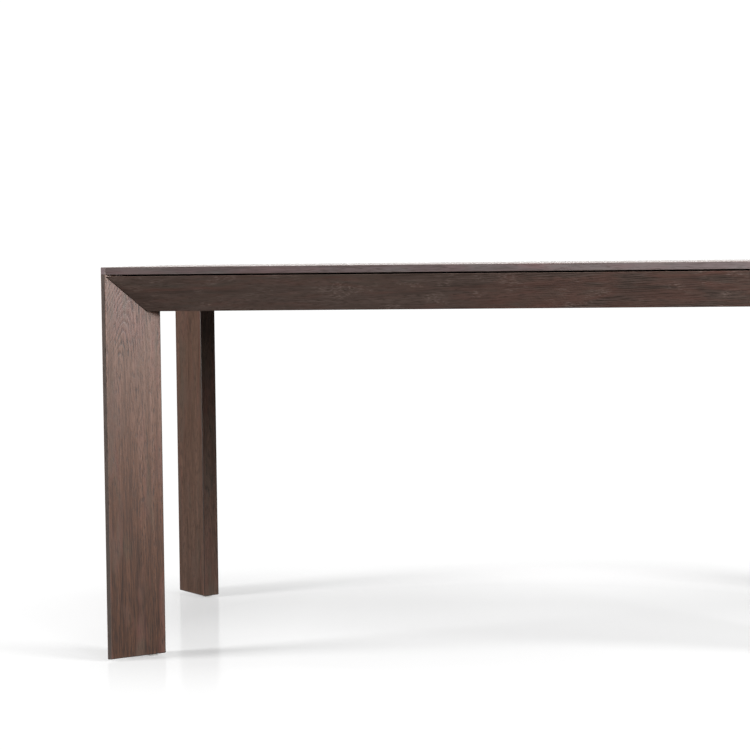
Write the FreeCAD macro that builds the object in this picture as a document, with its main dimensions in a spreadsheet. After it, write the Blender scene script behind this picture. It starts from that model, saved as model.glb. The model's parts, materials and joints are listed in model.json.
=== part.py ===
import FreeCAD, Part
import os

import Sketcher
from FreeCAD import Placement, Rotation, Vector

# A fixed dining table in oak. Four wedge-shaped legs stand on the diagonals of the corners. The rails
# between them lean inwards at the same rake as the legs' faces, so each rail meets its legs on a line
# at 45 degrees. Hanger bolts pull every leg into its corner, like a wedge between two rail ends.
#
# Frame: millimetres, +Z up, +X along the table's length, front at -Y, origin on the floor at the centre.
# A point near a corner is given by how far it lies inside the table's end and inside its side.

SIZES = (
    ("table_length", 1600, "left end to right end"),
    ("table_depth", 850, "front to back"),
    ("table_height", 750, "floor to the top surface"),
    ("top_thickness", 14, "tabletop, panel and lippings alike"),
    ("lipping_width", 8, "solid edge strip, seen from above"),
    ("tongue_depth", 5, "how far a lipping's tongue reaches into the panel"),
    ("tongue_thickness", 4, "height of the tongue"),
    ("shadow_gap", 3.4, "open joint between rails and tabletop"),
    ("nose_width", 8, "flat at the outer corner of a leg, on each of its two sides"),
    ("leg_thickness", 40, "leg across its inner end, square to the diagonal"),
    ("rail_depth", 71.7, "table's side face to the rail's inner face"),
    ("rail_drop", 67.5, "height of a rail"),
    ("spacer_setback", 30, "table's side face to the spacer strip in the shadow gap"),
    ("spacer_width", 30, "width of the spacer strip"),
    ("batten_width", 45, "cross batten, along the table"),
    ("batten_thickness", 28, "cross batten, vertical"),
    ("batten_inset", 400, "table's end to the middle of an outer batten"),
    ("batten_shoulder", 8, "batten beside and below its stub tenon"),
    ("tenon_length", 12, "stub tenon into the rail"),
    ("tenon_height", 12, "stub tenon, vertical"),
    ("foot_height", 4, "foot pad, floor to the leg's end"),
    ("foot_diameter", 20, "foot pad"),
    ("foot_bevel", 1, "bevel round the bottom of the pad"),
    ("foot_inset", 18, "leg's inner end to the middle of the foot, on the diagonal"),
    ("stud_diameter", 8, "levelling stud"),
    ("stud_length", 26, "stud above the pad"),
    ("stud_seat", 2.5, "stud moulded into the pad"),
    ("insert_diameter", 12, "threaded insert, outside"),
    ("insert_length", 18, "threaded insert"),
    ("bolt_diameter", 8, "hanger bolt"),
    ("bolt_in_leg", 40, "hanger bolt inside the leg"),
    ("bolt_tail", 5, "hanger bolt past its nut"),
    ("bolt_spacing", 28, "between the two bolts of one leg"),
    ("bolt_point", 5, "length of the bolt's point"),
    ("bolt_bevel", 1, "bevel at the bolt's nut end"),
    ("washer_diameter", 18, "washer, outside"),
    ("washer_thickness", 1.6, "washer"),
    ("nut_width", 13, "nut across its flats"),
    ("nut_height", 6.5, "nut"),
    ("bracket_gap", 12, "leg's inner end to the corner bracket's web"),
    ("bracket_thickness", 2.5, "corner bracket, sheet steel"),
    ("bracket_height", 48, "corner bracket"),
    ("bracket_flange", 36, "corner bracket's flange along a rail"),
    ("flange_hole_inset", 14, "flange's end to its screws"),
    ("flange_hole_spacing", 26, "between the two screws of one flange"),
    ("clip_leg", 24, "angle clip, each leg"),
    ("clip_width", 18, "angle clip"),
    ("clip_thickness", 2, "angle clip, sheet steel"),
    ("clip_offset", 48, "corner bracket's flange to the nearest angle clip's middle"),
    ("screw_diameter", 4, "all wood screws"),
    ("screw_head", 8, "screw head, across"),
    ("screw_head_height", 2.5, "screw head"),
    ("screw_rim", 1.5, "screw head's straight edge"),
    ("screw_crown", 5.6, "flat on top of the screw head, across"),
    ("screw_point", 4, "length of a screw's point"),
    ("screw_length", 20, "screws into the rails"),
    ("screw_cover", 4, "wood left above a screw in the tabletop"),
    ("counterbore_depth", 8, "batten screw's head below the batten's face"),
    ("batten_screw_inset", 50, "batten's shoulder to its outer screws"),
    ("bore_spare", 2, "empty depth past the end of a stud"),
    ("hole_slack", 0.5, "clearance hole's radius over its bolt or screw head"),
    ("fit", 0.05, "fitted hole's radius over what sits in it"),
)

# Corner: its end (-1 left, 1 right), its side (-1 front, 1 back), and quarter turns from the front left.
CORNERS = {
    "front_left": (-1, -1, 0),
    "front_right": (1, -1, 1),
    "back_right": (1, 1, 2),
    "back_left": (-1, 1, 3),
}

# Heights and reaches that several pieces share, worked out from the sheet.
UNDERSIDE = "(Sizes.table_height - Sizes.top_thickness)"
RAIL_TOP = f"({UNDERSIDE} - Sizes.shadow_gap)"
RAIL_FOOT = f"({RAIL_TOP} - Sizes.rail_drop)"
RAIL_MIDDLE = f"({RAIL_TOP} - Sizes.rail_drop / 2)"
# Where a leg's raked face ends, measured along the table's side from the corner.
LEG_REACH = "(Sizes.rail_depth + Sizes.leg_thickness * sqrt(0.5))"
# The same inner end, measured along the diagonal from the corner.
LEG_HEART = "(Sizes.rail_depth * sqrt(2) + Sizes.leg_thickness / 2)"
# How far a raked face moves inwards for each millimetre along the leg or down the rail.
RAKE = f"(Sizes.rail_depth / ({LEG_REACH} - Sizes.nose_width))"
WEB = f"({LEG_HEART} + Sizes.bracket_gap)"
WEB_FACE = f"({WEB} + Sizes.bracket_thickness)"
FLANGE_START = f"({LEG_REACH} + Sizes.bracket_gap * sqrt(2))"
FLANGE_END = f"({FLANGE_START} + Sizes.bracket_flange)"
SCREW_BITE = "(Sizes.top_thickness - Sizes.screw_cover)"
CLIP_HOLE = "(Sizes.clip_leg - Sizes.clip_width / 2)"
TENON_LIFT = f"({UNDERSIDE} - Sizes.batten_thickness + Sizes.batten_shoulder)"
TENON_HALF_WIDTH = "(Sizes.batten_width / 2 - Sizes.batten_shoulder)"
INNER_HALF_DEPTH = "(Sizes.table_depth / 2 - Sizes.rail_depth)"
OUTER_BATTEN = "(Sizes.table_length / 2 - Sizes.batten_inset)"

UPWARDS = Vector(0, 0, 1)

doc = FreeCAD.newDocument("DiningTable")
sheet = doc.addObject("Spreadsheet::Sheet", "Sizes")
nodes = []


def fill_sheet():
    """Write the driving dimensions, one row each: name, value, meaning."""
    for row, (alias, size, meaning) in enumerate(SIZES, start=1):
        sheet.set(f"A{row}", alias)
        sheet.set(f"B{row}", str(size))
        sheet.setAlias(f"B{row}", alias)
        sheet.set(f"C{row}", meaning)
    doc.recompute()


def value(expression):
    """The present value of an expression on the sheet."""
    return float(sheet.evalExpression(expression))


# ---------------------------------------------------------------- sketches, features and places

def rectangle(left, right, low, high):
    """Corners of an upright rectangle, as expressions."""
    return ((left, low), (right, low), (right, high), (left, high))


def sketch(body, name, role, outlines=(), circles=(), radius=None, lift="0"):
    """A sketch on one of the body's own planes, lifted along its normal. Outlines are closed loops of
    corners and circles are centres of one radius. Every corner and centre is bound to the sheet."""
    plane = next(part for part in body.Origin.OriginFeatures if part.Role == role)
    drawing = body.newObject("Sketcher::SketchObject", name)
    drawing.AttachmentSupport = (plane, [""])
    drawing.MapMode = "FlatFace"
    drawing.setExpression("AttachmentOffset.Base.z", lift)
    for outline in outlines:
        first = drawing.GeometryCount
        corners = [Vector(value(x), value(y), 0) for x, y in outline]
        for start, end in zip(corners, corners[1:] + corners[:1]):
            drawing.addGeometry(Part.LineSegment(start, end), False)
        for index, corner in enumerate(outline):
            following = (index + 1) % len(outline)
            drawing.addConstraint(Sketcher.Constraint("Coincident", first + index, 2, first + following, 1))
            pin(drawing, first + index, 1, corner)
    for centre in circles:
        middle = Vector(value(centre[0]), value(centre[1]), 0)
        ring = drawing.addGeometry(Part.Circle(middle, UPWARDS, value(radius)), False)
        pin(drawing, ring, 3, centre)
        size = drawing.addConstraint(Sketcher.Constraint("Radius", ring, value(radius)))
        drawing.setExpression(f"Constraints[{size}]", radius)
    return drawing


def pin(drawing, edge, point, place):
    """Hold one point of a sketch at a pair of expressions from the sketch's origin."""
    for kind, size in zip(("DistanceX", "DistanceY"), place):
        number = drawing.addConstraint(Sketcher.Constraint(kind, -1, 1, edge, point, value(size)))
        drawing.setExpression(f"Constraints[{number}]", size)


def add_feature(body, kind, drawing, length, reverse=False):
    """Pad or pocket a sketch, and make sure that it added or removed material."""
    before = body.Shape.Volume if body.Tip else 0
    feature = body.newObject(f"PartDesign::{kind}", f"{drawing.Name}_{kind}")
    feature.Profile = drawing
    feature.Reversed = reverse
    feature.setExpression("Length", length)
    doc.recompute()
    change = body.Shape.Volume - before
    if (change > 0) != (kind == "Pad"):
        raise RuntimeError(f"{feature.Name} changed the volume by {change}")


def turned(name, profile):
    """A body turned about Z from a half profile of (radius, height) corners."""
    body = doc.addObject("PartDesign::Body", name)
    drawing = sketch(body, f"{name}_profile", "XZ_Plane", [profile])
    feature = body.newObject("PartDesign::Revolution", f"{name}_turning")
    feature.Profile = drawing
    feature.ReferenceAxis = (drawing, ["V_Axis"])
    feature.Angle = 360
    return body


def place(thing, where, rotation=Rotation()):
    """Turn a piece, and bind its origin to three expressions."""
    thing.Placement = Placement(Vector(), rotation)
    for axis, expression in zip("xyz", where):
        thing.setExpression(f"Placement.Base.{axis}", expression)


def about_z(degrees):
    return Rotation(UPWARDS, degrees)


def inset(corner, from_end, from_side):
    """Plan position of a point by its distances inside the table's end and side."""
    end, side, _ = CORNERS[corner]
    return (f"{end} * (Sizes.table_length / 2 - ({from_end}))",
            f"{side} * (Sizes.table_depth / 2 - ({from_side}))")


def on_diagonal(corner, distance):
    """Plan position of a point on a corner's diagonal, by its distance from the corner."""
    along = f"({distance}) * sqrt(0.5)"
    return inset(corner, along, along)


def inwards(corner):
    """Direction from a corner along its diagonal into the table."""
    end, side, _ = CORNERS[corner]
    return Vector(-end, -side, 0)


def copies(name, master, places):
    """A group of separate copies of one piece; a place is three expressions and the way that +Z turns."""
    links = []
    for number, (where, direction) in enumerate(places, start=1):
        link = doc.addObject("App::Link", f"{name}_{number}")
        link.LinkedObject = master
        place(link, where, Rotation(UPWARDS, direction))
        links.append(link)
    group = doc.addObject("Part::Compound", name)
    group.Links = links
    return group


def bored(name, blank, *bores):
    """The finished piece: a blank with the shared bores cut out of it."""
    tool = doc.addObject("Part::Compound", f"{name}_bores")
    tool.Links = list(bores)
    piece = doc.addObject("Part::Cut", name)
    piece.Base = blank
    piece.Tool = tool
    return piece


def keep(piece, label):
    """Name a finished piece and list it for export."""
    piece.Label = label
    nodes.append(piece)


# ---------------------------------------------------------------- where the fasteners sit

def bolt_places(distance):
    """Two places on each diagonal, at the hanger bolts' heights, pointing into the table."""
    places = []
    for corner in CORNERS:
        for sign in "+-":
            height = f"{RAIL_MIDDLE} {sign} Sizes.bolt_spacing / 2"
            places.append(((*on_diagonal(corner, distance), height), inwards(corner)))
    return places


def flange_screw_places():
    """Two screws through each flange of the corner brackets, pointing out into the rail."""
    places = []
    along = f"{FLANGE_END} - Sizes.flange_hole_inset"
    face = "Sizes.rail_depth + Sizes.bracket_thickness"
    for corner, (end, side, _) in CORNERS.items():
        for sign in "+-":
            height = f"{RAIL_MIDDLE} {sign} Sizes.flange_hole_spacing / 2"
            places.append(((*inset(corner, along, face), height), Vector(0, side, 0)))
            places.append(((*inset(corner, face, along), height), Vector(end, 0, 0)))
    return places


def clip_spots():
    """Plan position of each angle clip's heel on a rail's inner face, and the way into the table."""
    spots = []
    along_side = f"{FLANGE_END} + Sizes.clip_offset"
    between_battens = f"Sizes.table_length / 2 - {OUTER_BATTEN} / 2"
    for corner, (_, side, _) in CORNERS.items():
        for along in (along_side, between_battens):
            spots.append((inset(corner, along, "Sizes.rail_depth"), Vector(0, -side, 0)))
    for corner in ("front_left", "back_right"):
        end = CORNERS[corner][0]
        spots.append((inset(corner, "Sizes.rail_depth", "Sizes.table_depth / 2"), Vector(-end, 0, 0)))
    return spots


def moved(spot, way, distance):
    """A plan position moved a distance along a direction."""
    return (f"{spot[0]} + {way.x} * ({distance})", f"{spot[1]} + {way.y} * ({distance})")


def clip_rail_screw_places():
    """Screws through the upright legs of the clips into the rails."""
    height = f"{UNDERSIDE} - {CLIP_HOLE}"
    return [((*moved(spot, way, "Sizes.clip_thickness"), height), -way) for spot, way in clip_spots()]


def clip_top_screw_places():
    """Screws through the level legs of the clips into the tabletop."""
    height = f"{UNDERSIDE} - Sizes.clip_thickness"
    return [((*moved(spot, way, CLIP_HOLE), height), UPWARDS) for spot, way in clip_spots()]


def batten_screw_places():
    """Three screws up through each batten."""
    height = f"{UNDERSIDE} - Sizes.batten_thickness + Sizes.counterbore_depth"
    outer = f"({INNER_HALF_DEPTH} - Sizes.batten_screw_inset)"
    return [((x, y, height), UPWARDS)
            for x in (f"-{OUTER_BATTEN}", "0", OUTER_BATTEN) for y in (f"-{outer}", "0", outer)]


# ---------------------------------------------------------------- fasteners

def screw(name, length):
    """Pan-head wood screw with the underside of its head at the origin, pointing along +Z."""
    head = "Sizes.screw_head / 2"
    shank = "Sizes.screw_diameter / 2"
    crown = "-Sizes.screw_head_height"
    return turned(name, (("0", crown), ("Sizes.screw_crown / 2", crown), (head, "-Sizes.screw_rim"),
                         (head, "0"), (shank, "0"), (shank, f"{length} - Sizes.screw_point"),
                         ("0", length)))


def bore(name, radius, length):
    """Cutting tool for a round hole that starts at the origin and runs along +Z."""
    tool = doc.addObject("Part::Cylinder", name)
    tool.setExpression("Radius", radius)
    tool.setExpression("Height", length)
    return tool


def screw_bore(name, length, recess=None):
    """Cutting tool for a screw's hole, with a counterbore behind the head where one is wanted."""
    shank = bore(name, "Sizes.screw_diameter / 2 + Sizes.fit", f"{length} + Sizes.fit")
    if recess is None:
        return shank
    head = bore(f"{name}_head", "Sizes.screw_head / 2 + Sizes.hole_slack", recess)
    place(head, ("0", "0", f"-({recess})"))
    stepped = doc.addObject("Part::Fuse", f"{name}_stepped")
    stepped.Base = shank
    stepped.Tool = head
    return stepped


def hanger_bolt():
    """Hanger bolt along +Z with its wood point at the origin."""
    radius = "Sizes.bolt_diameter / 2"
    length = (f"(Sizes.bolt_in_leg + {WEB_FACE} - {LEG_HEART} + Sizes.washer_thickness"
              " + Sizes.nut_height + Sizes.bolt_tail)")
    return turned("hanger_bolt", (("0", "0"), (radius, "Sizes.bolt_point"),
                                  (radius, f"{length} - Sizes.bolt_bevel"),
                                  (f"{radius} - Sizes.bolt_bevel", length), ("0", length)))


def ring(name, inner, outer, height):
    """A plain ring on the origin, rising along +Z."""
    return turned(name, ((inner, "0"), (outer, "0"), (outer, height), (inner, height)))


def nut():
    """Hexagon nut on the origin, rising along +Z."""
    body = doc.addObject("PartDesign::Body", "nut")
    half = "Sizes.nut_width / 2"
    corner = f"{half} / cos(30 deg)"
    hexagon = ((corner, "0"), (f"{corner} / 2", half), (f"-{corner} / 2", half),
               (f"-{corner}", "0"), (f"-{corner} / 2", f"-{half}"), (f"{corner} / 2", f"-{half}"))
    outline = sketch(body, "nut_outline", "XY_Plane", [hexagon], [("0", "0")],
                     "Sizes.bolt_diameter / 2 + Sizes.fit")
    add_feature(body, "Pad", outline, "Sizes.nut_height")
    return body


# ---------------------------------------------------------------- tabletop

def panel():
    """Veneered core of the tabletop, grooved all round for the lippings' tongues."""
    body = doc.addObject("PartDesign::Body", "panel")
    half_length = "(Sizes.table_length / 2 - Sizes.lipping_width)"
    half_depth = "(Sizes.table_depth / 2 - Sizes.lipping_width)"
    groove = "(Sizes.tongue_depth + Sizes.fit)"
    edge = rectangle(f"-{half_length}", half_length, f"-{half_depth}", half_depth)
    floor = rectangle(f"-({half_length} - {groove})", f"{half_length} - {groove}",
                      f"-({half_depth} - {groove})", f"{half_depth} - {groove}")
    add_feature(body, "Pad", sketch(body, "panel_outline", "XY_Plane", [edge]), "Sizes.top_thickness")
    ring_sketch = sketch(body, "panel_groove", "XY_Plane", [edge, floor],
                         lift="(Sizes.top_thickness - Sizes.tongue_thickness) / 2 - Sizes.fit")
    add_feature(body, "Pocket", ring_sketch, "Sizes.tongue_thickness + 2 * Sizes.fit", reverse=True)
    place(body, ("0", "0", UNDERSIDE))
    return body


def lipping(label, half_length, tongue_half_length, where, degrees):
    """Solid edge strip with its outer face on the local YZ plane and its tongue along +X."""
    body = doc.addObject("PartDesign::Body", label)
    strip = rectangle("0", "Sizes.lipping_width", f"-({half_length})", half_length)
    tongue = rectangle("Sizes.lipping_width", "Sizes.lipping_width + Sizes.tongue_depth",
                       f"-({tongue_half_length})", tongue_half_length)
    add_feature(body, "Pad", sketch(body, f"{label}_strip", "XY_Plane", [strip]), "Sizes.top_thickness")
    tongue_sketch = sketch(body, f"{label}_tongue", "XY_Plane", [tongue],
                           lift="(Sizes.top_thickness - Sizes.tongue_thickness) / 2")
    add_feature(body, "Pad", tongue_sketch, "Sizes.tongue_thickness")
    place(body, (*where, UNDERSIDE), about_z(degrees))
    keep(body, label)


def make_lippings():
    """End lippings run the whole depth; the long ones fit between them."""
    half_depth = "Sizes.table_depth / 2"
    end_tongue = f"{half_depth} - Sizes.lipping_width"
    long_half = "Sizes.table_length / 2 - Sizes.lipping_width"
    long_tongue = f"{long_half} - Sizes.tongue_depth - Sizes.hole_slack"
    lipping("left_lipping", half_depth, end_tongue, ("-Sizes.table_length / 2", "0"), 0)
    lipping("right_lipping", half_depth, end_tongue, ("Sizes.table_length / 2", "0"), 180)
    lipping("front_lipping", long_half, long_tongue, ("0", f"-{half_depth}"), 90)
    lipping("back_lipping", long_half, long_tongue, ("0", half_depth), -90)


# ---------------------------------------------------------------- legs, rails and battens

def leg(corner):
    """Wedge-shaped leg. Local +X runs from the outer corner along the diagonal into the table."""
    body = doc.addObject("PartDesign::Body", f"{corner}_leg_blank")
    nose = "Sizes.nose_width * sqrt(0.5)"
    half = "Sizes.leg_thickness / 2"
    wedge = (("0", "0"), (nose, f"-{nose}"), (LEG_HEART, f"-{half}"), (LEG_HEART, half), (nose, nose))
    add_feature(body, "Pad", sketch(body, f"{corner}_wedge", "XY_Plane", [wedge]),
                f"{UNDERSIDE} - Sizes.foot_height")
    centre = [(f"{LEG_HEART} - Sizes.foot_inset", "0")]
    socket = sketch(body, f"{corner}_insert_hole", "XY_Plane", circles=centre,
                    radius="Sizes.insert_diameter / 2 + Sizes.fit")
    add_feature(body, "Pocket", socket, "Sizes.insert_length", reverse=True)
    shaft = sketch(body, f"{corner}_stud_hole", "XY_Plane", circles=centre,
                   radius="Sizes.stud_diameter / 2 + Sizes.hole_slack")
    add_feature(body, "Pocket", shaft, "Sizes.stud_length + Sizes.bore_spare", reverse=True)
    place(body, (*inset(corner, "0", "0"), "Sizes.foot_height"), about_z(45 + 90 * CORNERS[corner][2]))
    return body


def between_legs(length, near, far):
    """Plan outline that butts on the raked faces of two legs, between two distances from the side."""
    near_end = f"(Sizes.nose_width + ({near}) / {RAKE})"
    far_end = f"(Sizes.nose_width + ({far}) / {RAKE})"
    return ((near_end, near), (f"{length} - {near_end}", near),
            (f"{length} - {far_end}", far), (far_end, far))


def rail(label, corner, length, mortised):
    """Rail with a raked outer face. Local +X runs along the rail from its corner, +Y into the table."""
    body = doc.addObject("PartDesign::Body", f"{label}_blank")
    plan = between_legs(length, "0", "Sizes.rail_depth")
    add_feature(body, "Pad", sketch(body, f"{label}_plan", "XY_Plane", [plan]), "Sizes.rail_drop")
    waste = (("0", "0"), (f"Sizes.rail_drop * {RAKE}", "0"), ("0", "Sizes.rail_drop"))
    add_feature(body, "Pocket", sketch(body, f"{label}_rake", "YZ_Plane", [waste], lift=length), length)
    if mortised:
        low = f"{TENON_LIFT} - {RAIL_FOOT} - Sizes.fit"
        high = f"{TENON_LIFT} - {RAIL_FOOT} + Sizes.tenon_height + Sizes.fit"
        half = f"({TENON_HALF_WIDTH} + Sizes.fit)"
        middles = ("Sizes.batten_inset", f"{length} / 2", f"({length} - Sizes.batten_inset)")
        slots = [rectangle(f"{middle} - {half}", f"{middle} + {half}", low, high) for middle in middles]
        mortises = sketch(body, f"{label}_mortises", "XZ_Plane", slots, lift="-Sizes.rail_depth")
        add_feature(body, "Pocket", mortises, "Sizes.tenon_length + Sizes.hole_slack", reverse=True)
    place(body, (*inset(corner, "0", "0"), RAIL_FOOT), about_z(90 * CORNERS[corner][2]))
    return body


def spacer(label, corner, length):
    """Strip in the shadow gap that carries the tabletop on a rail."""
    body = doc.addObject("PartDesign::Body", label)
    strip = between_legs(length, "Sizes.spacer_setback", "Sizes.spacer_setback + Sizes.spacer_width")
    add_feature(body, "Pad", sketch(body, f"{label}_plan", "XY_Plane", [strip]), "Sizes.shadow_gap")
    place(body, (*inset(corner, "0", "0"), RAIL_TOP), about_z(90 * CORNERS[corner][2]))
    keep(body, label)


def batten(label, along):
    """Cross batten against the tabletop's underside, with a stub tenon at each end."""
    body = doc.addObject("PartDesign::Body", f"{label}_blank")
    half_width = "Sizes.batten_width / 2"
    reach = f"({INNER_HALF_DEPTH} + Sizes.tenon_length)"
    bar = rectangle(f"-{half_width}", half_width, f"-{INNER_HALF_DEPTH}", INNER_HALF_DEPTH)
    tenons = rectangle(f"-{TENON_HALF_WIDTH}", TENON_HALF_WIDTH, f"-{reach}", reach)
    add_feature(body, "Pad", sketch(body, f"{label}_bar", "XY_Plane", [bar]), "Sizes.batten_thickness")
    tenon_sketch = sketch(body, f"{label}_tenons", "XY_Plane", [tenons], lift="Sizes.batten_shoulder")
    add_feature(body, "Pad", tenon_sketch, "Sizes.tenon_height")
    place(body, (along, "0", f"{UNDERSIDE} - Sizes.batten_thickness"))
    return body


# ---------------------------------------------------------------- steel fittings and feet

def corner_bracket(corner):
    """Pressed corner bracket: a web across the diagonal and a flange flat on each rail."""
    body = doc.addObject("PartDesign::Body", f"{corner}_bracket_blank")
    half_web = "(Sizes.leg_thickness / 2 + Sizes.bracket_gap)"
    run = "Sizes.bracket_flange * sqrt(0.5)"
    sheet_run = "Sizes.bracket_thickness * sqrt(0.5)"
    inner_half_web = f"({half_web} - Sizes.bracket_thickness * (sqrt(2) - 1))"
    half_outline = ((WEB_FACE, inner_half_web),
                    (f"{WEB} + {run} + {sheet_run}", f"{half_web} + {run} - {sheet_run}"),
                    (f"{WEB} + {run}", f"{half_web} + {run}"), (WEB, half_web))
    other_half = tuple((x, f"-({y})") for x, y in reversed(half_outline))
    add_feature(body, "Pad", sketch(body, f"{corner}_bracket_plan", "XY_Plane", [half_outline + other_half]),
                "Sizes.bracket_height")
    heights = [f"Sizes.bracket_height / 2 {sign} Sizes.bolt_spacing / 2" for sign in "+-"]
    holes = sketch(body, f"{corner}_bracket_holes", "YZ_Plane", lift=WEB_FACE,
                   circles=[("0", height) for height in heights],
                   radius="Sizes.bolt_diameter / 2 + Sizes.hole_slack")
    add_feature(body, "Pocket", holes, "Sizes.bracket_thickness")
    place(body, (*inset(corner, "0", "0"), f"{RAIL_MIDDLE} - Sizes.bracket_height / 2"),
          about_z(45 + 90 * CORNERS[corner][2]))
    return body


def angle_clip():
    """Angle clip with its heel on the origin: +Z runs into the table, -Y is up, X is its width."""
    body = doc.addObject("PartDesign::Body", "angle_clip")
    leg_size = "Sizes.clip_leg"
    sheet_size = "Sizes.clip_thickness"
    angle = (("0", "0"), (f"-{leg_size}", "0"), (f"-{leg_size}", sheet_size), (f"-{sheet_size}", sheet_size),
             (f"-{sheet_size}", leg_size), ("0", leg_size))
    profile = sketch(body, "clip_profile", "YZ_Plane", [angle], lift="-Sizes.clip_width / 2")
    add_feature(body, "Pad", profile, "Sizes.clip_width")
    hole = "Sizes.screw_diameter / 2 + Sizes.fit"
    in_rail = sketch(body, "clip_rail_hole", "XY_Plane", circles=[("0", f"-{CLIP_HOLE}")], radius=hole)
    add_feature(body, "Pocket", in_rail, sheet_size, reverse=True)
    in_top = sketch(body, "clip_top_hole", "XZ_Plane", circles=[("0", CLIP_HOLE)], radius=hole)
    add_feature(body, "Pocket", in_top, sheet_size, reverse=True)
    return body


def make_angle_clips():
    """Ten clips along the rails, heels in the corner between rail face and tabletop."""
    clip = angle_clip()
    links = []
    for number, (spot, way) in enumerate(clip_spots(), start=1):
        link = doc.addObject("App::Link", f"angle_clip_{number}")
        link.LinkedObject = clip
        place(link, (*spot, UNDERSIDE), Rotation(UPWARDS.cross(way), UPWARDS, way, "ZYX"))
        links.append(link)
    group = doc.addObject("Part::Compound", "tabletop_clips")
    group.Links = links
    keep(group, "tabletop_clips")


def make_feet():
    """A pad with a stud moulded into it under every leg; each stud runs in an insert in the leg."""
    radius = "Sizes.foot_diameter / 2"
    stud_radius = "Sizes.stud_diameter / 2"
    seat = "(Sizes.foot_height - Sizes.stud_seat)"
    hole = f"{stud_radius} + Sizes.fit"
    outline = (("0", "0"), (f"{radius} - Sizes.foot_bevel", "0"), (radius, "Sizes.foot_bevel"),
               (radius, "Sizes.foot_height"), (hole, "Sizes.foot_height"), (hole, seat), ("0", seat))
    for corner in CORNERS:
        spot = on_diagonal(corner, f"{LEG_HEART} - Sizes.foot_inset")
        pad = turned(f"{corner}_foot_pad", outline)
        place(pad, (*spot, "0"))
        keep(pad, f"{corner}_foot_pad")
        stud = doc.addObject("Part::Cylinder", f"{corner}_foot_stud")
        stud.setExpression("Radius", stud_radius)
        stud.setExpression("Height", "Sizes.stud_seat + Sizes.stud_length")
        place(stud, (*spot, seat))
        keep(stud, f"{corner}_foot_stud")
    insert = ring("insert", hole, "Sizes.insert_diameter / 2", "Sizes.insert_length")
    spots = [((*on_diagonal(corner, f"{LEG_HEART} - Sizes.foot_inset"), "Sizes.foot_height"), UPWARDS)
             for corner in CORNERS]
    keep(copies("foot_inserts", insert, spots), "foot_inserts")


# ---------------------------------------------------------------- assembly

def make_table():
    """Every piece in its place. Holes are cut from the same places as what sits in them."""
    point = f"{LEG_HEART} - Sizes.bolt_in_leg"
    bolt_bore = bore("bolt_bore", "Sizes.bolt_diameter / 2 + Sizes.fit", "Sizes.bolt_in_leg")
    bolt_bores = copies("bolt_bores", bolt_bore, bolt_places(point))
    keep(copies("hanger_bolts", hanger_bolt(), bolt_places(point)), "hanger_bolts")
    washer = ring("washer", "Sizes.bolt_diameter / 2 + Sizes.hole_slack", "Sizes.washer_diameter / 2",
                  "Sizes.washer_thickness")
    keep(copies("hanger_bolt_washers", washer, bolt_places(WEB_FACE)), "hanger_bolt_washers")
    nut_seat = f"{WEB_FACE} + Sizes.washer_thickness"
    keep(copies("hanger_bolt_nuts", nut(), bolt_places(nut_seat)), "hanger_bolt_nuts")

    rail_screw = screw("rail_screw", "Sizes.screw_length")
    rail_screw_bore = screw_bore("rail_screw_bore", "Sizes.screw_length")
    flange_bores = copies("flange_bores", rail_screw_bore, flange_screw_places())
    clip_bores = copies("clip_bores", rail_screw_bore, clip_rail_screw_places())
    keep(copies("corner_bracket_screws", rail_screw, flange_screw_places()), "corner_bracket_screws")
    keep(copies("clip_rail_screws", rail_screw, clip_rail_screw_places()), "clip_rail_screws")

    top_length = f"Sizes.clip_thickness + {SCREW_BITE}"
    top_screw = screw("top_screw", top_length)
    top_bores = copies("top_bores", screw_bore("top_screw_bore", top_length), clip_top_screw_places())
    keep(copies("clip_top_screws", top_screw, clip_top_screw_places()), "clip_top_screws")

    batten_length = f"Sizes.batten_thickness - Sizes.counterbore_depth + {SCREW_BITE}"
    batten_screw = screw("batten_screw", batten_length)
    batten_bore = screw_bore("batten_screw_bore", batten_length, "Sizes.counterbore_depth")
    batten_bores = copies("batten_bores", batten_bore, batten_screw_places())
    keep(copies("batten_screws", batten_screw, batten_screw_places()), "batten_screws")

    keep(bored("tabletop_panel", panel(), top_bores, batten_bores), "tabletop_panel")
    make_lippings()
    for corner in CORNERS:
        keep(bored(f"{corner}_leg", leg(corner), bolt_bores), f"{corner}_leg")
        bracket = corner_bracket(corner)
        keep(bored(f"{corner}_corner_bracket", bracket, flange_bores), f"{corner}_corner_bracket")
    rails = (("front", "front_left", "Sizes.table_length", True),
             ("right", "front_right", "Sizes.table_depth", False),
             ("back", "back_right", "Sizes.table_length", True),
             ("left", "back_left", "Sizes.table_depth", False))
    for side, corner, length, mortised in rails:
        blank = rail(f"{side}_rail", corner, length, mortised)
        keep(bored(f"{side}_rail_bored", blank, flange_bores, clip_bores), f"{side}_rail")
        spacer(f"{side}_spacer_strip", corner, length)
    for name, along in (("left", f"-{OUTER_BATTEN}"), ("centre", "0"), ("right", OUTER_BATTEN)):
        blank = batten(f"{name}_cross_batten", along)
        keep(bored(f"{name}_cross_batten_bored", blank, batten_bores), f"{name}_cross_batten")
    make_angle_clips()
    make_feet()


def check_and_export():
    """Stop on any failed object, then write one STEP file per piece."""
    doc.recompute()
    for part in doc.Objects:
        if "Invalid" in part.State or "Error" in part.State:
            raise RuntimeError(f"{part.Name} failed: {part.State}")
    for piece in nodes:
        if piece.Shape.isNull() or not piece.Shape.isValid() or not piece.Shape.Solids:
            raise RuntimeError(f"{piece.Label} has no valid solid")
    os.makedirs("parts", exist_ok=True)
    for piece in nodes:
        piece.Shape.exportStep(f"parts/{piece.Label}.step")
        box = piece.Shape.BoundBox
        print(f"{piece.Label}: {len(piece.Shape.Solids)} solids, {piece.Shape.Volume / 1000:.1f} cm3,"
              f" z {box.ZMin:.1f} to {box.ZMax:.1f}")


fill_sheet()
make_table()
check_and_export()
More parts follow.
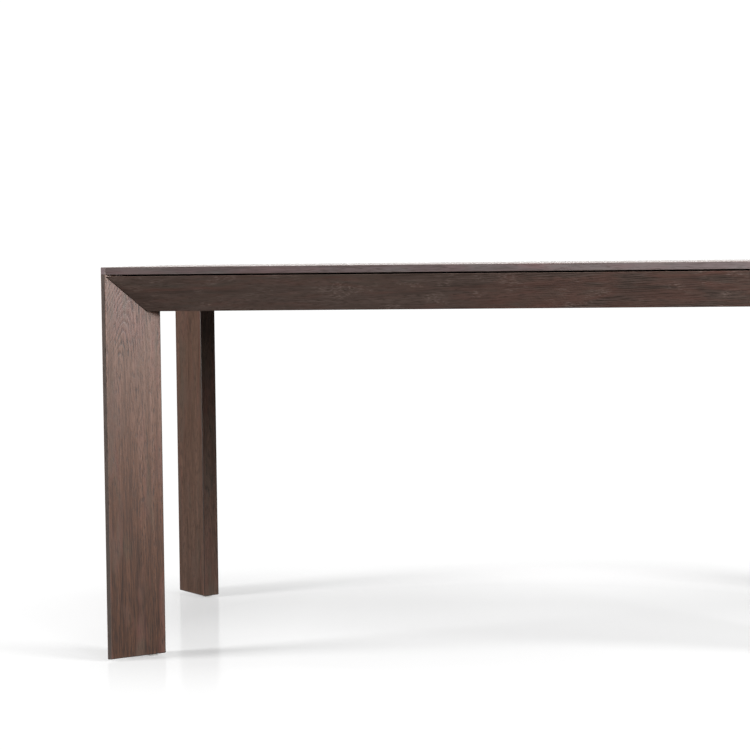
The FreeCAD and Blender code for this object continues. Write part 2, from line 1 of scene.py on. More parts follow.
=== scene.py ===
"""Looks of the dining table: smoked oak boards with eased edges, its hidden fittings, and the studio."""

import json
from math import pi, radians

import bmesh
import bpy
from mathutils import Matrix, Vector


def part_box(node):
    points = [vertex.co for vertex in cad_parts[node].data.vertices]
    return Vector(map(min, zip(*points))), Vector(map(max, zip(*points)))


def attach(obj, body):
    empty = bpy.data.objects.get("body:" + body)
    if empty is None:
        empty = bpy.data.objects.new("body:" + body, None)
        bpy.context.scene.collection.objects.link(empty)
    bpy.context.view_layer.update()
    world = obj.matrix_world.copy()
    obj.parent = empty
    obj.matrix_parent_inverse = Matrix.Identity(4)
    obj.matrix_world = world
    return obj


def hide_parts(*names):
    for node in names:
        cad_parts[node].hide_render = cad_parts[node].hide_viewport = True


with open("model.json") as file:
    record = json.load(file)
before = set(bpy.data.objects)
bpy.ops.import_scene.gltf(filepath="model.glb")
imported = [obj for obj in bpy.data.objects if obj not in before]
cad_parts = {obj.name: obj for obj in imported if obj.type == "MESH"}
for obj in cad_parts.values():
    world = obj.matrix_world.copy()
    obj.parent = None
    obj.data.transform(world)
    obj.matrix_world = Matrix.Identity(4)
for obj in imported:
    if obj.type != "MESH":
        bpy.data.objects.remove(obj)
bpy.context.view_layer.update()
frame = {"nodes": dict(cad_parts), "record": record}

MM = 0.001

# ---------------------------------------------------------------- sizes of the table, in metres
TOP_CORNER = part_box("left_lipping")[0]       # the tabletop's front left corner, on its underside
BATTEN_LOW, BATTEN_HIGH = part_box("left_cross_batten")
HALF_LENGTH = -TOP_CORNER.x
HALF_DEPTH = -TOP_CORNER.y
UNDERSIDE = TOP_CORNER.z
NOSE = HALF_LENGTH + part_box("front_rail")[0].x   # width of a leg's flats at the corner, up to the rail
OUTER_BATTEN = -BATTEN_LOW.x
MORTISE_HEIGHT = (BATTEN_LOW.z + BATTEN_HIGH.z) / 2
MORTISE_REACH = 6.5 * MM                     # a mortise's edges lie this near to its middle
SOLE = 10 * MM                               # a leg's sawn lower end lies below this height
INNER_END = HALF_LENGTH - 70 * MM            # the edges of a leg's inner end lie inside this
INNER_SHADE_TOP = 700 * MM                         # above this height the inner end's edges get no painted shade
MITRE_X = HALF_LENGTH - 140 * MM             # a rail's mitred ends lie outside these two
MITRE_Y = HALF_DEPTH - 125 * MM
LIPPING_END = 200 * MM * MM                  # more than a lipping's end, which is 8 by 14 mm
ARRIS = 0.7 * MM                             # edges broken by hand with fine paper
DARK_LINE = 1.8 * MM                        # a dark edge's width: the open line where two boards meet, and a leg's darkened edges
SHORT_EDGE = 7 * MM                          # shorter ones, such as those round a hole, stay sharp
SHARP = radians(20)                          # faces that turn by less are part of a curve
WELD = 0.002 * MM                            # points nearer to each other are one
FLAT = radians(0.5)                          # faces that turn by less are one
PAD_RIM = 0.9 * MM                           # rounding of a foot pad
VENEER_LEAF = 139 * MM                       # six leaves across the panel's 834 mm

CORNERS = {"front_left": (-1, -1), "front_right": (1, -1), "back_right": (1, 1), "back_left": (-1, 1)}


# ---------------------------------------------------------------- nodes and colours
def linear(colour):
    """An sRGB hex colour as the linear values that a shader reads."""
    parts = [int(colour[i:i + 2], 16) / 255 for i in (1, 3, 5)]
    return [p / 12.92 if p <= 0.04045 else ((p + 0.055) / 1.055) ** 2.4 for p in parts] + [1.0]


def connect(tree, node, inputs):
    """Sets a node's inputs. An input is a value, a node's output, or a node, which stands for the output that
    it uses."""
    sockets = {s.identifier: s for s in node.inputs}
    for name, value in inputs.items():
        if isinstance(value, bpy.types.Node):
            value = next(out for out in value.outputs if out.enabled)
        if isinstance(value, bpy.types.NodeSocket):
            tree.links.new(value, sockets[name])
        else:
            sockets[name].default_value = value


def add(tree, kind, inputs=None, stops=None, **settings):
    """Adds a node with its settings and inputs. Stops fill a ramp."""
    made = tree.nodes.new("ShaderNode" + kind)
    for name, value in settings.items():
        setattr(made, name, value)
    connect(tree, made, inputs or {})
    if stops:
        while len(made.color_ramp.elements) < len(stops):
            made.color_ramp.elements.new(0.5)
        for element, (position, colour) in zip(made.color_ramp.elements, stops):
            element.position = position
            element.color = linear(colour) if isinstance(colour, str) else (colour, colour, colour, 1)
    return made


def blank(name):
    """A new material, its node tree, its surface shader and places on the object, in metres."""
    finish = bpy.data.materials.new(name)
    finish.use_nodes = True
    tree = finish.node_tree
    return finish, tree, tree.nodes["Principled BSDF"], add(tree, "TexCoord").outputs["Object"]


def streaks(tree, place, width, length, detail=2.0, rough=0.5):
    """Uneven lines along the grain, width across it and length along it, both in metres."""
    drawn = add(tree, "VectorMath", {"Vector": place, "Vector_001": (1 / width, 1 / width, 1 / length)},
                operation="MULTIPLY")
    return add(tree, "TexNoise", {"Vector": drawn, "Scale": 1.0, "Detail": detail, "Roughness": rough})


# ---------------------------------------------------------------- smoked oak
OAK_TONES = {
    "pore": "#211510",       # early wood, where open pores hold the stain
    "body": "#553a2c",       # fumed brown between the pores
    "pale": "#75594d",       # dense late wood, brushed smooth
    "warm": "#6c433c",       # tannin-rich patches, reddish
    "cool": "#464034",       # fumed patches, greenish grey
    "edge": "#504945",       # narrow faces, which the fumes turned grey
}
BACK_TONES = dict(OAK_TONES, body="#543f34", pale="#6f5649", warm="#69443a", cool="#48433a")
RAIL_TONES = dict(OAK_TONES, pore="#33261f", body="#574740", pale="#6f5e56", warm="#6c463c", cool="#4a4740")
LIPPING_TONES = dict(OAK_TONES, pore="#3a2e2b", body="#574b4b", pale="#695d5d", warm="#6c5050",
                     cool="#5a5957", edge="#77686a")
VENEER_TONES = dict(LIPPING_TONES, pore="#362a26", body="#584840", pale="#6e5f57", warm="#62483f",
                    cool="#554e47")
RAY_TONE = "#86736a"         # rays, cut so that they lie in the surface
WORN_AND_HIGHLIGHT_TONE = "#8f786c"        # edges rubbed through the stain, with a painted highlight along them
WAX_AND_SHADE_TONE = "#0d0a09"         # wax and dust in an open joint, and painted shade on a leg's darkened edges

UPRIGHT = (0, 0, 0)          # turns of the grain, which runs along Z before them
ALONG_X = (0, radians(90), 0)
ALONG_Y = (radians(90), 0, 0)


def veneer_leaves(tree, place, width):
    """Places on a face of veneer, where each sliced leaf comes from its own place in the log."""
    across = add(tree, "SeparateXYZ", {"Vector": place})
    counted = add(tree, "Math", {"Value": across.outputs["Y"], "Value_001": width}, operation="DIVIDE")
    number = add(tree, "Math", {"Value": counted}, operation="FLOOR")
    chance = add(tree, "TexWhiteNoise", {"W": number}, noise_dimensions="1D").outputs["Color"]
    moved = add(tree, "VectorMath", {"Vector": chance, "Vector_001": (0.9, 0.05, 0.03)}, operation="MULTIPLY")
    within = add(tree, "Math", {"Value": counted}, operation="FRACT")
    seam = add(tree, "Math", {"Value": within, "Value_001": width, "Value_002": -width / 2},
               operation="MULTIPLY_ADD")
    single = add(tree, "CombineXYZ", {"X": across.outputs["X"], "Y": seam, "Z": across.outputs["Z"]})
    return add(tree, "VectorMath", {"Vector": single, "Vector_001": moved}, operation="ADD")


def growth_rings(tree, board, ring, lean, taper, wander):
    """Places on a board that wander a little, and the early wood of the rings there, from 0 to 1. The rings
    lie round a line that leans from the grain, and narrow with height by taper."""
    bend = streaks(tree, board, 35 * MM, 100 * MM, detail=1.5).outputs["Color"]
    sway = add(tree, "VectorMath", {"Vector": bend, "Vector_001": (-0.5, -0.5, -0.5)}, operation="ADD")
    swayed = add(tree, "VectorMath", {"Vector": sway, "Vector_001": (4 * wander, 4 * wander, 0.0),
                                      "Vector_002": board}, operation="MULTIPLY_ADD")
    ringed = add(tree, "Mapping", {"Vector": swayed, "Rotation": lean}, vector_type="TEXTURE")
    flat = add(tree, "VectorMath", {"Vector": ringed, "Vector_001": (1, 1, 0)}, operation="MULTIPLY")
    radius = add(tree, "VectorMath", {"Vector": flat}, operation="LENGTH")
    climb = add(tree, "VectorMath", {"Vector": ringed, "Vector_001": (0, 0, taper / ring)},
                operation="DOT_PRODUCT")
    years = add(tree, "Math", {"Value": radius, "Value_001": 1 / ring, "Value_002": climb},
                operation="MULTIPLY_ADD")
    season = add(tree, "Math", {"Value": years}, operation="FRACT")
    spring = add(tree, "ValToRGB", {"Fac": season},
                 stops=[(0.0, 1.0), (0.18, 0.95), (0.42, 0.1), (0.86, 0.0), (1.0, 1.0)])
    return swayed, spring


def ray_fleck(tree, board, swayed, strength):
    """Short pale dashes that cross the grain at a low angle, in feathery patches."""
    tilted = add(tree, "Mapping", {"Vector": swayed, "Rotation": (radians(8), radians(8), 0)},
                 vector_type="TEXTURE")
    dashes = streaks(tree, tilted, 1.8 * MM, 30 * MM, detail=1.5).outputs["Fac"]
    flecks = add(tree, "MapRange", {"Value": dashes, "From Min": 0.50, "From Max": 0.66})
    patches = streaks(tree, board, 28 * MM, 60 * MM, detail=1.0).outputs["Fac"]
    feathers = add(tree, "MapRange", {"Value": patches, "From Min": 0.54, "From Max": 0.66,
                                      "To Max": strength})
    return add(tree, "Math", {"Value": flecks, "Value_001": feathers}, operation="MULTIPLY")


def marked(tree, mark, share):
    """A mark on the mesh's faces, from 0 to 1, times the share of its tone that shows there."""
    drawn = add(tree, "Attribute", attribute_name=mark).outputs["Fac"]
    return add(tree, "Math", {"Value": drawn, "Value_001": share}, operation="MULTIPLY")


def smoked_oak(name, heart, grain, lean=(0, 0, 0), taper=0.0, ring=5.2 * MM, arch=90 * MM, wander=2.5 * MM,
               figure=0.34, painted_shade_low=0.0, painted_light_high=0.0, tones=OAK_TONES, leaf=None, rays=0.0, matt=0.43):
    """Fumed, brushed and oiled oak. Z of the grain frame runs with the fibres. Growth rings are a ring wide,
    and a cut flat to them shows them as arches near the heart point, as far as arch and as strong as figure.
    Over them come open pores, reddish and greenish patches, ray fleck as strong as rays, paler edges that are
    partly worn and partly a painted highlight, dark joints with painted shade on some edges, and a low sheen,
    which matt dulls. One argument paints shade on the board's lower end, and the next paints light on its
    upper end. leaf is the width of the leaves, on veneer."""
    finish, tree, surface, place = blank(name)
    if leaf:
        place = veneer_leaves(tree, place, leaf)
    board = add(tree, "Mapping", {"Vector": place, "Location": heart, "Rotation": grain},
                vector_type="TEXTURE")
    swayed, spring = growth_rings(tree, board, ring, lean, taper, wander)
    # the rings show where the board is cut flat to them, near the heart point
    reach = add(tree, "VectorMath", {"Vector": board, "Vector_001": (1.6, 1.6, 0.75)}, operation="MULTIPLY")
    apart = add(tree, "VectorMath", {"Vector": reach}, operation="LENGTH")
    near = add(tree, "MapRange", {"Value": apart, "From Min": 0.45 * arch, "From Max": arch,
                                  "To Min": 1.0, "To Max": 0.12})

    # fibres and pores are real at 0.3 mm, and drawn near 2 mm wide so that they show
    fibre = streaks(tree, board, 1.9 * MM, 50 * MM, detail=3.0, rough=0.65).outputs["Fac"]
    broad = streaks(tree, board, 12 * MM, 400 * MM).outputs["Fac"]
    dashes = streaks(tree, board, 1.8 * MM, 16 * MM, detail=1.5).outputs["Fac"]
    open_grain = add(tree, "MapRange", {"Value": dashes, "From Min": 0.52, "From Max": 0.66})
    rows = add(tree, "MapRange", {"Value": broad, "From Min": 0.4, "From Max": 0.62, "To Min": 0.35})
    pores = add(tree, "Math", {"Value": open_grain, "Value_001": rows}, operation="MULTIPLY")
    broken = add(tree, "MapRange", {"Value": dashes, "From Min": 0.38, "From Max": 0.54, "To Min": 0.4})
    drawn = add(tree, "Math", {"Value": spring, "Value_001": near}, operation="MULTIPLY")
    arches = add(tree, "Math", {"Value": drawn, "Value_001": broken}, operation="MULTIPLY")

    # tone: 0.5 is the body colour, fibres and bands swing it, painted light and shade by height shift it,
    # rings darken it
    fine = add(tree, "Math", {"Value": fibre, "Value_001": 0.8, "Value_002": -0.15}, operation="MULTIPLY_ADD")
    banded = add(tree, "Math", {"Value": broad, "Value_001": 0.5, "Value_002": fine},
                 operation="MULTIPLY_ADD")
    height = add(tree, "SeparateXYZ", {"Vector": board})
    # painted light and shade: paler towards the board's upper end, darker towards its lower end
    painted_light_by_height = add(tree, "MapRange", {"Value": height.outputs["Z"], "From Min": -0.65, "From Max": -0.05,
                                  "To Min": -painted_shade_low, "To Max": painted_light_high})
    banded_with_painted_light = add(tree, "Math", {"Value": banded, "Value_001": painted_light_by_height}, operation="ADD")
    tone = add(tree, "Math", {"Value": arches, "Value_001": -figure, "Value_002": banded_with_painted_light},
               operation="MULTIPLY_ADD")
    colour = add(tree, "ValToRGB", {"Fac": tone},
                 stops=[(0.18, tones["pore"]), (0.5, tones["body"]), (0.82, tones["pale"])])

    # over it, one after the other, come the wood's patches, its pores and rays, then wear with a painted
    # highlight on the edges, and last wax in the joints and painted shade on some edges
    reds = streaks(tree, board, 26 * MM, 140 * MM, detail=2.5).outputs["Fac"]
    ruddy = add(tree, "Math", {"Value": near, "Value_001": 0.10, "Value_002": reds}, operation="MULTIPLY_ADD")
    blush = add(tree, "MapRange", {"Value": ruddy, "From Min": 0.50, "From Max": 0.70, "To Max": 0.65})
    greys = streaks(tree, swayed, 28 * MM, 140 * MM).outputs["Fac"]
    fumed = add(tree, "MapRange", {"Value": greys, "From Min": 0.49, "From Max": 0.68, "To Max": 0.6})
    stain = add(tree, "Math", {"Value": pores, "Value_001": 0.7}, operation="MULTIPLY")
    coats = [(blush, tones["warm"]), (fumed, tones["cool"]), (marked(tree, "narrow", 0.85), tones["edge"]),
             (stain, tones["pore"])]
    if rays:
        coats.append((ray_fleck(tree, board, swayed, rays), RAY_TONE))
    coats += [(marked(tree, "arris", 0.25), WORN_AND_HIGHLIGHT_TONE), (marked(tree, "joint_and_shade", 0.92), WAX_AND_SHADE_TONE)]
    for share, coat in coats:
        colour = add(tree, "Mix", {"Factor_Float": share, "A_Color": colour, "B_Color": linear(coat)},
                     data_type="RGBA")

    # oil sits in the pores, and leaves the dense wood with a low sheen
    dull = add(tree, "Math", {"Value": pores, "Value_001": 0.08, "Value_002": matt}, operation="MULTIPLY_ADD")
    duller = add(tree, "Math", {"Value": arches, "Value_001": 0.06, "Value_002": dull},
                 operation="MULTIPLY_ADD")
    sheen = add(tree, "Math", {"Value": fibre, "Value_001": -0.12, "Value_002": duller},
                operation="MULTIPLY_ADD")
    # brushing takes the soft early wood out, so rings and pores lie lower
    ridges = add(tree, "Math", {"Value": fibre, "Value_001": pores}, operation="SUBTRACT")
    relief = add(tree, "Math", {"Value": ridges, "Value_001": arches}, operation="SUBTRACT")
    brushed = add(tree, "Bump", {"Strength": 0.45, "Distance": 0.3 * MM, "Height": relief})
    connect(tree, surface, {"Base Color": colour, "Roughness": sheen, "IOR": 1.47, "Normal": brushed})
    return finish


def lacquered_veneer(name):
    """Oak veneer in sliced leaves under dead-matt lacquer, with raised fibres that catch the light only when
    it grazes them."""
    finish = smoked_oak(name, (0.0, 0.0, 0.73), ALONG_X, (0, radians(1.2), 0), ring=4.6 * MM, arch=900 * MM,
                        wander=4 * MM, figure=0.27, tones=VENEER_TONES, leaf=VENEER_LEAF, matt=0.60)
    tree = finish.node_tree
    connect(tree, tree.nodes["Principled BSDF"], {"Specular IOR Level": 0.2, "Sheen Weight": 0.22,
                                                  "Sheen Roughness": 0.25})
    return finish


# ---------------------------------------------------------------- finishes of the hidden fittings
def black_lacquer(name):
    """Beech painted matt black: flat, with a slight mottle."""
    finish, tree, surface, place = blank(name)
    mottle = streaks(tree, place, 3 * MM, 3 * MM)
    shade = add(tree, "ValToRGB", {"Fac": mottle}, stops=[(0.3, "#0d0c0c"), (0.8, "#191817")])
    connect(tree, surface, {"Base Color": shade, "Roughness": 0.7})
    return finish


def planed_beech(name):
    """Beech, planed and wiped with brown stain: close fine grain along the batten, and short dark flecks."""
    finish, tree, surface, place = blank(name)
    log = add(tree, "Mapping", {"Vector": place, "Rotation": ALONG_Y})
    grain = streaks(tree, log, 4 * MM, 250 * MM, detail=3.0)
    shade = add(tree, "ValToRGB", {"Fac": grain}, stops=[(0.3, "#4a372c"), (0.75, "#6e5444")])
    specks = streaks(tree, log, 1.2 * MM, 6 * MM, detail=1.0)
    fleck = add(tree, "MapRange", {"Value": specks, "From Min": 0.60, "From Max": 0.70, "To Max": 0.5})
    flecked = add(tree, "Mix", {"Factor_Float": fleck, "A_Color": shade, "B_Color": linear("#37271f")},
                  data_type="RGBA")
    connect(tree, surface, {"Base Color": flecked, "Roughness": 0.6})
    return finish


def powder_coat(name):
    """Pressed steel, powder coated satin black: a fine orange peel."""
    finish, tree, surface, place = blank(name)
    peel = streaks(tree, place, 1.5 * MM, 1.5 * MM, detail=1.0)
    shade = add(tree, "ValToRGB", {"Fac": peel}, stops=[(0.3, "#151515"), (0.8, "#1f1f20")])
    bump = add(tree, "Bump", {"Strength": 0.3, "Distance": 0.1 * MM, "Height": peel})
    connect(tree, surface, {"Base Color": shade, "Roughness": 0.42, "Normal": bump})
    return finish


def zinc_plate(name):
    """Steel, zinc plated: bright grey metal with cloudy dull patches."""
    finish, tree, surface, place = blank(name)
    clouds = streaks(tree, place, 3 * MM, 3 * MM, detail=3.0)
    shade = add(tree, "ValToRGB", {"Fac": clouds}, stops=[(0.3, "#a9adb0"), (0.7, "#c9cbcc")])
    dull = add(tree, "MapRange", {"Value": clouds, "From Min": 0.3, "From Max": 0.7, "To Min": 0.28,
                                  "To Max": 0.42})
    connect(tree, surface, {"Base Color": shade, "Roughness": dull, "Metallic": 1.0})
    return finish


def moulded_nylon(name):
    """Undyed polyamide, injection moulded: milky white with a fine spark-eroded texture."""
    finish, tree, surface, place = blank(name)
    grit = streaks(tree, place, 0.8 * MM, 0.8 * MM, detail=1.0)
    shade = add(tree, "ValToRGB", {"Fac": grit}, stops=[(0.3, "#c9c8c3"), (0.8, "#dad9d4")])
    bump = add(tree, "Bump", {"Strength": 0.4, "Distance": 0.1 * MM, "Height": grit})
    connect(tree, surface, {"Base Color": shade, "Roughness": 0.55, "Normal": bump})
    return finish


# ---------------------------------------------------------------- pieces
def fitted(shape, node, ending, finish, body):
    """The finished piece that stands for a node and moves with its body."""
    mesh = bpy.data.meshes.new(node + ending)
    shape.to_mesh(mesh)
    shape.free()
    mesh.materials.append(finish)
    piece = bpy.data.objects.new(node + ending, mesh)
    bpy.context.scene.collection.objects.link(piece)
    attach(piece, body)
    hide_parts(node)
    return piece


def sharp_edges(board, outer):
    """The edges to break, with their middles. outer picks them by their middles."""
    for edge in board.edges:
        middle = (edge.verts[0].co + edge.verts[1].co) / 2
        corner = edge.is_manifold and edge.is_convex and edge.calc_face_angle() > SHARP
        if corner and edge.calc_length() > SHORT_EDGE and outer(middle):
            yield edge, middle


def eased(node, finish, outer, joint_and_shade=lambda middle: 0.0, narrow=lambda face: False):
    """A board of the table with its edges broken to an arris. outer picks the edges by their middles. The
    fourth argument gives how dark an edge is, where the arris is wider: at a joint this is wax lying deep,
    and on a leg's inner end it is painted shade. narrow picks faces that took the fumes differently."""
    board = bmesh.new()
    board.from_mesh(frame["nodes"][node].data)
    bmesh.ops.remove_doubles(board, verts=board.verts, dist=WELD)
    bmesh.ops.dissolve_limit(board, angle_limit=FLAT, verts=board.verts, edges=board.edges)
    arris = board.faces.layers.float.new("arris")
    dark = board.faces.layers.float.new("joint_and_shade")
    edge_on = board.faces.layers.float.new("narrow")
    for face in board.faces:
        face[edge_on] = 1.0 if narrow(face) else 0.0
    for wide in (True, False):
        edges = [edge for edge, middle in sharp_edges(board, outer) if bool(joint_and_shade(middle)) == wide]
        made = bmesh.ops.bevel(board, geom=edges, offset=DARK_LINE if wide else ARRIS, affect="EDGES",
                               segments=2, profile=0.5, material=-1, clamp_overlap=True)
        for face in made["faces"]:
            face[arris] = 0.0 if wide else 1.0
            face[dark] = joint_and_shade(face.calc_center_median()) if wide else 0.0
            face[edge_on] = 0.0
    fitted(board, node, "_eased", finish, "table")


def glide(node, finish, body):
    """A levelling foot's pad, with rounded rims."""
    low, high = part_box(node)
    middle = (low + high) / 2
    radius = (high.x - low.x) / 2
    pad = bmesh.new()
    bmesh.ops.create_circle(pad, cap_ends=True, segments=64, radius=radius,
                            matrix=Matrix.Translation((middle.x, middle.y, low.z)))
    grown = bmesh.ops.extrude_face_region(pad, geom=pad.faces[:])
    bmesh.ops.translate(pad, vec=(0, 0, high.z - low.z),
                        verts=[v for v in grown["geom"] if isinstance(v, bmesh.types.BMVert)])
    bmesh.ops.recalc_face_normals(pad, faces=pad.faces)
    rims = [e for e in pad.edges if abs(e.verts[0].co.z - e.verts[1].co.z) < 0.1 * MM]
    bmesh.ops.bevel(pad, geom=rims, offset=PAD_RIM, affect="EDGES", segments=4, profile=0.5, material=-1)
    fitted(pad, node, "_moulded", finish, body).data.shade_smooth()


# ---------------------------------------------------------------- legs
# The grain stands. The rings' centre leans inwards going up, and stays 9 mm behind the leg's front or back
# face. At the heart point it is 14 mm behind the end face and 47 mm in from the nose, where arches about
# 20 mm apart rise beside the rail.
HEART_FROM_END = 39.8 * MM
HEART_FROM_SIDE = 35.7 * MM
HEART_HEIGHT = 680 * MM
LEAN_X = 0.16                                # in radians, towards the middle of the table
LEAN_Y = 0.12
# how dark a leg's darkened edges are: painted shade at the inner end, and the same dark round the sawn lower
# end
LEG_DARK_EDGE = 0.6
# painted light at the top of each leg and painted shade at its foot, stronger on the front legs
LEG_SHADES = {-1: {"painted_shade_low": 0.12, "painted_light_high": 0.12, "tones": OAK_TONES},      # front legs
              1: {"painted_shade_low": 0.02, "painted_light_high": 0.06, "tones": BACK_TONES}}      # back legs


def leg_edge(middle):
    """All edges but those at the top, which meet the tabletop."""
    return middle.z < UNDERSIDE - MM


def leg_dark_edge(middle):
    """Painted shade on the upright edges of the inner end, below the top, and darker edges round the sawn
    lower end.
    """
    inner = abs(middle.x) < INNER_END and middle.z < INNER_SHADE_TOP
    return LEG_DARK_EDGE if middle.z < SOLE or inner else 0.0


def leg_nose(face):
    """The two flats at the table's corner, and the top, which the tabletop hides."""
    return abs(min(edge.calc_length() for edge in face.edges) - NOSE) < MM


for name, (end, side) in CORNERS.items():
    heart = (end * (HALF_LENGTH - HEART_FROM_END), side * (HALF_DEPTH - HEART_FROM_SIDE), HEART_HEIGHT)
    oak = smoked_oak("smoked_oak_leg_" + name, heart, UPRIGHT, lean=(side * LEAN_Y, -end * LEAN_X, 0),
                     taper=0.26, ring=5.6 * MM, wander=4 * MM, figure=0.52, **LEG_SHADES[side])
    eased(name + "_leg", oak, leg_edge, leg_dark_edge, leg_nose)


# ---------------------------------------------------------------- rails
# The grain runs along them, and the rings' centre leans from it by a few degrees, tip and turn.
RAIL_HEART = 33 * MM                         # rings' centre, in from the table's side or end
RAIL_HEART_HEIGHT = 688 * MM


def rail_edge(middle):
    """All edges but those of the mortises that hold the battens."""
    return abs(middle.z - MORTISE_HEIGHT) > MORTISE_REACH or abs(middle.x) > OUTER_BATTEN


def rail_joint(middle):
    """The mitred ends, which meet the legs in a dark line."""
    return float(abs(middle.x) > MITRE_X and abs(middle.y) > MITRE_Y)


for name, x, y, grain, tip, turn in (
        ("front", 0.16, RAIL_HEART - HALF_DEPTH, ALONG_X, 3, -2),
        ("back", -0.31, HALF_DEPTH - RAIL_HEART, ALONG_X, -3, 2),
        ("left", RAIL_HEART - HALF_LENGTH, 0.05, ALONG_Y, 2, 3),
        ("right", HALF_LENGTH - RAIL_HEART, 0.02, ALONG_Y, -2, -3)):
    oak = smoked_oak("smoked_oak_rail_" + name, (x, y, RAIL_HEART_HEIGHT), grain,
                     (radians(tip), radians(turn), 0), arch=300 * MM, wander=4 * MM, figure=0.32,
                     tones=RAIL_TONES, rays=0.6)
    eased(name + "_rail", oak, rail_edge, rail_joint)


# ---------------------------------------------------------------- lippings
# Narrow straight-grained strips, more mauve than the boards.
def lipping_edge(middle):
    """The edges on the table's outer sides."""
    return abs(middle.x) > HALF_LENGTH - MM or abs(middle.y) > HALF_DEPTH - MM


def lipping_end(face):
    """The end grain, which took the fumes differently."""
    return face.calc_area() < LIPPING_END


for sides, run, heart, grain in ((("front", "back"), "long", (0.1, -0.50, 0.70), ALONG_X),
                                 (("left", "right"), "short", (0.60, 0.0, 0.70), ALONG_Y)):
    oak = smoked_oak("smoked_oak_lipping_" + run, heart, grain, tones=LIPPING_TONES)
    for name in sides:
        eased(name + "_lipping", oak, lipping_edge, narrow=lipping_end)


# ---------------------------------------------------------------- veneered panel and fittings
# They keep their own solids, apart from the foot pads.
FITTINGS = {
    "oak_veneer_top": lacquered_veneer("smoked_oak_veneer_leaves"),
    "black_spacer": black_lacquer("beech_painted_black"),
    "batten_wood": planed_beech("beech_planed_stained"),
    "bracket_steel": powder_coat("steel_powder_coated_black"),
    "zinc_steel": zinc_plate("steel_zinc_plated"),
    "foot_plastic": moulded_nylon("polyamide_moulded"),
}
for part in frame["record"]["subparts"]:
    if part["material_slot"] in FITTINGS:
        for slot in frame["nodes"][part["node"]].material_slots:
            slot.material = FITTINGS[part["material_slot"]]
for name in CORNERS:
    glide(name + "_foot_pad", FITTINGS["foot_plastic"], name + "_foot")


# ---------------------------------------------------------------- studio
WHITE = (1, 1, 1, 1)
BACKDROP_LIGHT = 1.05                        # just over white
ROOM_LIGHT = 0.04


def white_paint(name):
    """Matt white floor paint with a faint gloss. It also glows, and the glow is painted light, stronger at
    some places along the table than at others, so that the table's shades on it are deeper or lighter. It
    fades into the backdrop away from it."""
    finish, tree, surface, place = blank(name)
    tree.nodes.remove(surface)
    reach = add(tree, "VectorMath", {"Vector": place, "Vector_001": (0.62, 0.85, 0)}, operation="MULTIPLY")
    away = add(tree, "VectorMath", {"Vector": reach}, operation="LENGTH")
    fade = add(tree, "MapRange", {"Value": away, "From Min": 0.45, "From Max": 0.90})
    paint = add(tree, "BsdfDiffuse", {"Color": (0.40, 0.40, 0.40, 1)})
    # painted light and shade on the floor: its glow rises and falls along the table
    spread = add(tree, "SeparateXYZ", {"Vector": place})
    along = add(tree, "MapRange", {"Value": spread.outputs["X"], "From Min": -1.0, "From Max": 1.0})
    painted_floor_levels = add(tree, "ValToRGB", {"Fac": along},
                stops=[(0.03, 0.31), (0.13, 0.26), (0.26, 0.32), (0.5, 0.285), (0.75, 0.245)])
    painted_floor_light = add(tree, "Emission", {"Color": WHITE, "Strength": painted_floor_levels})
    near = add(tree, "AddShader", {"Shader": paint, "Shader_001": painted_floor_light})
    gloss = add(tree, "BsdfGlossy", {"Color": WHITE, "Roughness": 0.13})
    glazed = add(tree, "MixShader", {"Fac": 0.05, "Shader": near, "Shader_001": gloss})
    far = add(tree, "Emission", {"Color": WHITE, "Strength": BACKDROP_LIGHT})
    seen = add(tree, "MixShader", {"Fac": fade, "Shader": glazed, "Shader_001": far})
    # close to the feet the floor gives back all its white, and elsewhere it leaves the table's shades deep
    dim = add(tree, "BsdfDiffuse", {"Color": (0.12, 0.12, 0.12, 1)})
    path = add(tree, "LightPath")
    close = add(tree, "MapRange", {"Value": path.outputs["Ray Length"], "From Min": 8 * MM,
                                   "From Max": 20 * MM, "To Min": 1.0, "To Max": 0.0})
    white = add(tree, "Math", {"Value": path.outputs["Is Camera Ray"], "Value_001": close},
                operation="MAXIMUM")
    above = add(tree, "MixShader", {"Fac": white, "Shader": dim, "Shader_001": seen})
    # a view from below looks through it
    below = add(tree, "NewGeometry").outputs["Backfacing"]
    clear = add(tree, "BsdfTransparent")
    shown = add(tree, "MixShader", {"Fac": below, "Shader": above, "Shader_001": clear})
    connect(tree, tree.nodes["Material Output"], {"Surface": shown})
    return finish


def floor(half_width):
    """A wide floor under the table."""
    grid = bmesh.new()
    bmesh.ops.create_grid(grid, x_segments=1, y_segments=1, size=half_width)
    mesh = bpy.data.meshes.new("floor")
    grid.to_mesh(mesh)
    grid.free()
    mesh.materials.append(white_paint("white_painted_floor"))
    ground = bpy.data.objects.new("floor", mesh)
    bpy.context.scene.collection.objects.link(ground)


def softbox(name, place, aim, width, height, power):
    """A soft light that faces a point of the table."""
    light = bpy.data.lights.new(name, "AREA")
    light.shape = "RECTANGLE"
    light.size = width
    light.size_y = height
    light.energy = power
    lamp = bpy.data.objects.new(name, light)
    lamp.location = place
    lamp.rotation_mode = "QUATERNION"
    lamp.rotation_quaternion = (Vector(aim) - Vector(place)).to_track_quat("-Z", "Y")
    lamp.visible_camera = False
    bpy.context.scene.collection.objects.link(lamp)


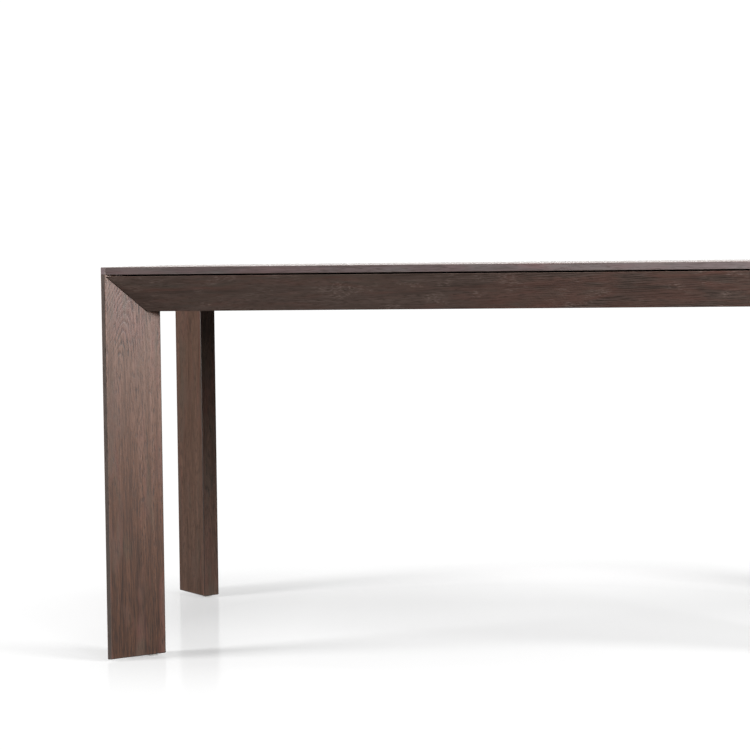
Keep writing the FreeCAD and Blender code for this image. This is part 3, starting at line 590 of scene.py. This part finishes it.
def surroundings():
    """A white backdrop for the camera, and a dim room for all other light."""
    studio = bpy.data.worlds.new("studio")
    bpy.context.scene.world = studio
    studio.use_nodes = True
    tree = studio.node_tree
    for spare in [n for n in tree.nodes if n.type != "OUTPUT_WORLD"]:
        tree.nodes.remove(spare)
    outlet = tree.nodes[0]
    backdrop = add(tree, "Background", {"Color": WHITE, "Strength": BACKDROP_LIGHT})
    room = add(tree, "Background", {"Color": WHITE, "Strength": ROOM_LIGHT})
    seen = add(tree, "LightPath").outputs["Is Camera Ray"]
    split = add(tree, "MixShader", {"Fac": seen, "Shader": room, "Shader_001": backdrop})
    connect(tree, outlet, {"Surface": split})


floor(half_width=40)
softbox("softbox_right", place=(2.3, -1.43, 1.56), aim=(-0.75, -0.2, 0.5), width=1.3, height=0.8, power=166)
softbox("softbox_front_right", place=(1.9, -4.3, 1.7), aim=(0.2, -0.3, 0.7), width=1.0, height=1.4, power=82)
softbox("softbox_left", place=(-3.3, -1.25, 1.58), aim=(-0.75, 0.2, 0.5), width=0.9, height=1.7, power=133)
softbox("softbox_above", place=(0.0, 0.25, 2.6), aim=(0.0, 0.25, 0.0), width=1.8, height=1.2, power=38)
softbox("backdrop_glow", place=(0.6, 5.0, 1.5), aim=(0.6, 0.0, 1.5), width=9.0, height=3.0, power=210)
surroundings()

# ---------------------------------------------------------------- camera
CAMERA_PLACE = Vector((0.0, -4.3748, 0.7677))
YAW, PITCH, ROLL = 0.0720, 0.06815, 0.00983  # in radians: to the left, downwards, and clockwise
FOCAL_PIXELS = 2120.3                        # for a frame 750 pixels wide
SHIFT_PIXELS = 25                            # upwards
FRAME_PIXELS = 750

lens = bpy.data.cameras.new("camera")
lens.sensor_width = 36.0
lens.lens = FOCAL_PIXELS / FRAME_PIXELS * lens.sensor_width
lens.shift_y = SHIFT_PIXELS / FRAME_PIXELS
lens.clip_start = 0.05
lens.clip_end = 200.0
camera = bpy.data.objects.new("camera", lens)
camera.matrix_world = (Matrix.Translation(CAMERA_PLACE) @ Matrix.Rotation(YAW, 4, "Z")
                       @ Matrix.Rotation(pi / 2 - PITCH, 4, "X") @ Matrix.Rotation(-ROLL, 4, "Z"))
bpy.context.scene.collection.objects.link(camera)
bpy.context.scene.camera = camera
bpy.context.scene.view_settings.view_transform = "Standard"
